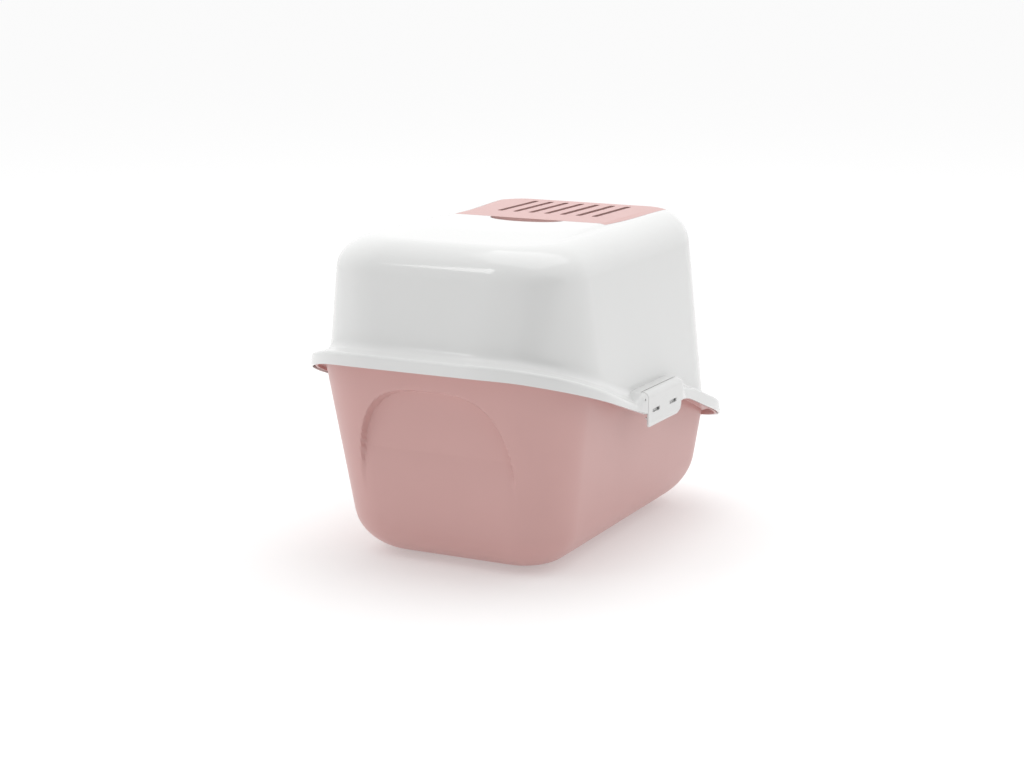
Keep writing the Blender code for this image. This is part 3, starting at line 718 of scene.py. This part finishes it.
def clipRoom(side):  # what the clip needs to sit and to swing
    reach = clips["round"] + shared["gap"]
    x, z = clips["axisX"], clips["axisZ"]
    lowZ, highZ, outerX, stepX = clips["room"]
    outline = [(x - reach, lowZ), (outerX, lowZ), (outerX, highZ), (x - stepX, highZ)]
    for step in range(17):
        angle = clips["head"] + (pi - clips["head"]) * step / 16
        outline.append((x + reach * cos(angle), z + reach * sin(angle)))
    low, high = clips["y"]
    length = high - low + 2 * shared["gap"]
    return prism([(side * acrossX, upZ) for acrossX, upZ in outline], length, upright((low + high) / 2))


def addClipSeat(shell, side):
    piece = toObject("seat", clipSeat(side))
    combine(piece, hoodCore(), "DIFFERENCE")
    combine(piece, toObject("room", clipRoom(side)), "DIFFERENCE")
    combine(shell, piece, "UNION")
    x, z = side * clips["axisX"], clips["axisZ"]
    bore = rod((x, rodLow.y - 0.0004, z), (x, rodHigh.y + 0.0004, z), clips["bore"])
    combine(shell, toObject("bore", bore), "DIFFERENCE")
    radius, back = clips["window"]  # a small hole that shows the rod's end
    window = rod((x + side * 0.002, rodHigh.y - back, z), (x + side * 0.02, rodHigh.y - back, z), radius)
    combine(shell, toObject("window", window), "DIFFERENCE")


def makeHood():
    shell = shellOfHood("hood_body")
    down = vent["grip"][2]
    wall = shared["wall"]
    cup = prism(gripOutline(wall), down + wall - 0.0008, lying(top - 0.0008 - (down + wall - 0.0008) / 2))
    combine(shell, toObject("cup", cup), "UNION")
    opening = prism(ventOutline(shared["gap"]), 0.070, lying(top - 0.025))
    combine(shell, toObject("opening", opening), "DIFFERENCE")
    pocket = prism(gripOutline(0.0), down + 0.010, lying(top - down + (down + 0.010) / 2))
    combine(shell, toObject("pocket", pocket), "DIFFERENCE")
    near, far = vent["half"]
    inside, outside, riserDrop = vent["riser"]
    seatLow = top - vent["seatDrop"] - wall
    for side in (-1, 1):  # each side has its clip's housing, and a ledge that the cover rests on
        addClipSeat(shell, side)
        ledge = sorted((side * (near - shared["gap"] - vent["seatWide"]), side * (far + outside)))
        riser = sorted((side * (far + inside), side * (far + outside)))
        for (low, high), height in ((ledge, top - vent["seatDrop"]), (riser, top - riserDrop)):
            bar = block((low, vent["seatFront"], seatLow), (high, vent["back"] + 0.006, height))
            combine(shell, toObject("ledge", bar), "UNION")
    hinge = hinges["vent_cover_hinge"]
    around, before, beyond = vent["hingeRoom"]
    reach = vent["half"][1] + beyond
    groove = rod((-reach, hinge.y, hinge.z), (reach, hinge.y, hinge.z), around)
    combine(shell, toObject("groove", groove), "DIFFERENCE")
    swing = block((-reach, hinge.y - before, hinge.z), (reach, hinge.y, top + 0.010))
    combine(shell, toObject("swing", swing), "DIFFERENCE")
    length, middle = door["cut"]
    entrance = prism(doorOutline(-shared["gap"]), length, upright(middle))
    combine(shell, toObject("entrance", entrance), "DIFFERENCE")
    finishPiece(shell, white, "hood", "white_plastic", "hood_shell", sharp=28)


makeHood()


def clipOutline():  # a clip seen from its end: rolled head, flat plate, hook under the brim
    x, z, turn, wall = clips["axisX"], clips["axisZ"], clips["round"], clips["wall"]
    outer, inner = [], []
    for step in range(25):
        angle = clips["head"] * (1 - step / 24)
        outer.append((x + turn * cos(angle), z + turn * sin(angle)))
        inner.append((x + (turn - wall) * cos(angle), z + (turn - wall) * sin(angle)))
    face, back, bottom = x + turn, x + turn - wall, clips["bottom"]
    hookZ = partingHeight(0.0) - 0.0012
    foot = [(face, bottom + 0.004), (face - 0.0012, bottom), (back - 0.0008, bottom), (back, bottom + 0.003),
            (back, hookZ - 0.0022), (back - 0.0026, hookZ - 0.0006), (back - 0.0026, hookZ), (back, hookZ)]
    return outer + foot + inner[::-1]


def makeClip(name, side):
    low, high = clips["y"]
    body = prism([(side * x, z) for x, z in clipOutline()], high - low, upright((low + high) / 2))
    piece = toObject(f"{name}_body", body)
    bottom, above = clips["bottom"] - 0.001, clips["room"][1]
    frontTurn, backTurn = clips["corners"]
    face = rounded([(low - 0.001, bottom, frontTurn), (high + 0.001, bottom, backTurn),
                    (high + 0.001, above, 0.0), (low - 0.001, above, 0.0)], 16)
    combine(piece, toObject("face", prism(face, 0.060, sideways(side * clips["axisX"]))), "INTERSECT")
    wide, tall, turn = clips["slotSize"]
    x = side * (clips["axisX"] + clips["round"])
    under, over = clips["slotZ"] - tall / 2, clips["slotZ"] + tall / 2
    for y in clips["slots"]:
        slot = rounded([(y - wide / 2, under, turn), (y + wide / 2, under, turn), (y + wide / 2, over, turn),
                        (y - wide / 2, over, turn)], 4)
        combine(piece, toObject("slot", prism(slot, 0.010, sideways(x))), "DIFFERENCE")
    edge = piece.modifiers.new("edge", "BEVEL")
    edge.width = clips["edge"]
    edge.segments = 2
    edge.limit_method = "ANGLE"
    edge.angle_limit = radians(50)
    bakeModifiers(piece)
    finishPiece(piece, white, name, "white_plastic", name, sharp=32)


makeClip("clip_left", -1)
makeClip("clip_right", 1)


def makeVentCover():
    cover = shellOfHood("vent_lid")
    outline = prism(ventOutline(-shared["gap"]), 0.070, lying(top - 0.025))
    combine(cover, toObject("outline", outline), "INTERSECT")
    wide, start, end = vent["slot"]
    turn = wide / 2 - 0.0004
    for index in range(vent["slots"]):
        x = (index - (vent["slots"] - 1) / 2) * vent["pitch"]
        slot = rounded([(x - wide / 2, start, turn), (x + wide / 2, start, turn), (x + wide / 2, end, turn),
                        (x - wide / 2, end, turn)], 5)
        combine(cover, toObject("slot", prism(slot, 0.050, lying(top - 0.010))), "DIFFERENCE")
    half, _, down = vent["grip"]
    back = vent["back"] - shared["gap"]
    thick, margin = vent["lip"]  # the edge that a finger lifts, in front of the pocket
    lip = block((-half + 0.001, back - thick, top - down + margin), (half - 0.001, back, top - margin))
    combine(cover, toObject("lip", lip), "UNION")
    hinge = hinges["vent_cover_hinge"]
    reach, radius = vent["barrel"]
    barrel = rod((-reach, hinge.y, hinge.z), (reach, hinge.y, hinge.z), radius)
    combine(cover, toObject("barrel", barrel), "UNION")
    finishPiece(cover, pink, "vent_cover", "pink_plastic", "vent_cover", sharp=28)


makeVentCover()

kept = {
    "filter_basket": grey, "carbon_filter": foam, "clip_rod_left": grey, "clip_rod_right": grey,
    "door_pin_left": grey, "door_pin_right": grey, "door_frame": white, "door_flap": clear,
    # the feet take the painted shade finish
    "foot_back_left": footShade, "foot_back_right": footShade,
    "foot_front_left": footShade, "foot_front_right": footShade,
}
for node, finish in kept.items():
    for slot in frame["nodes"][node].material_slots:
        slot.material = finish
print("finishes on the kept nodes")

studio = {
    "floorRadius": 40.0,
    "lens": 75.57,
    "eye": (-1.189, 2.349, 0.748),
    "aim": (0.0, 0.0332, 0.1917),
    "sky": 1.10,
    "falls": (  # where the sky gets dimmer: towards what, from and to which closeness, and by how much
        ((0.0, 1.0, 0.0), 0.05, 0.85, 0.44),
        ((-0.875, 0.446, 0.14), 0.76, 0.97, 0.97),
    ),
    "lights": {  # place, aim, size and power
        "key": ((1.624, 2.46, 3.25), (-0.04, 0.235, 0.37), (0.65, 0.91), 7.0),
        "overhead": ((0.0, -0.6, 3.2), (0.0, 0.0, 0.3), (3.0, 3.0), 30.0),
    },
}


def makeFloor():
    bm = bmesh.new()
    bmesh.ops.create_circle(bm, cap_ends=True, segments=96, radius=studio["floorRadius"])
    floor = toObject("floor", bm)
    values = finishes["floor"]
    finish = Finish("pale floor")
    finish.set(Base_Color=(*values["tone"], 1.0), Roughness=0.85, Emission_Color=(1.0, 1.0, 1.0, 1.0),
               Emission_Strength=values["glow"], Specular_IOR_Level=0.0)
    floor.data.materials.append(finish.material)


def makeSky():  # even white, dimmer towards the closed back and darkest off its near corner
    world = bpy.data.worlds.new("studio")
    bpy.context.scene.world = world
    sky = Nodes(world)
    toward = sky.node("ShaderNodeTexCoord", output="Generated")
    strength = studio["sky"]
    for direction, start, end, fall in studio["falls"]:
        values = {0: toward, 1: Vector(direction).normalized()}
        facing = sky.node("ShaderNodeVectorMath", {"operation": "DOT_PRODUCT"}, values, output="Value")
        values = {"Value": facing, "From Min": start, "From Max": end, "To Min": 1.0, "To Max": 1.0 - fall}
        strength = sky.node("ShaderNodeMapRange", {"interpolation_type": "SMOOTHSTEP"}, values) * strength
    backdrop = sky.tree.nodes["Background"]
    sky.feed(backdrop.inputs["Color"], (1.0, 1.0, 1.0, 1.0))
    sky.feed(backdrop.inputs["Strength"], strength)


def facingFrom(place, aim):  # turns a light or the camera towards its aim
    return (Vector(aim) - Vector(place)).to_track_quat("-Z", "Y").to_euler()


def makeLights():
    for name, (place, aim, size, power) in studio["lights"].items():
        lamp = bpy.data.lights.new(name, "AREA")
        lamp.shape = "RECTANGLE"
        lamp.size, lamp.size_y = size
        lamp.energy = power
        holder = bpy.data.objects.new(name, lamp)
        bpy.context.scene.collection.objects.link(holder)
        holder.location = place
        holder.rotation_euler = facingFrom(place, aim)


def makeCamera():
    data = bpy.data.cameras.new("camera")
    data.lens = studio["lens"]
    data.sensor_width = 36.0
    data.clip_end = 200.0
    camera = bpy.data.objects.new("camera", data)
    bpy.context.scene.collection.objects.link(camera)
    camera.location = studio["eye"]
    camera.rotation_euler = facingFrom(studio["eye"], studio["aim"])
    bpy.context.scene.camera = camera


makeFloor()
makeSky()
makeLights()
makeCamera()
bpy.context.scene.view_settings.view_transform = "Standard"
print("stage ready")
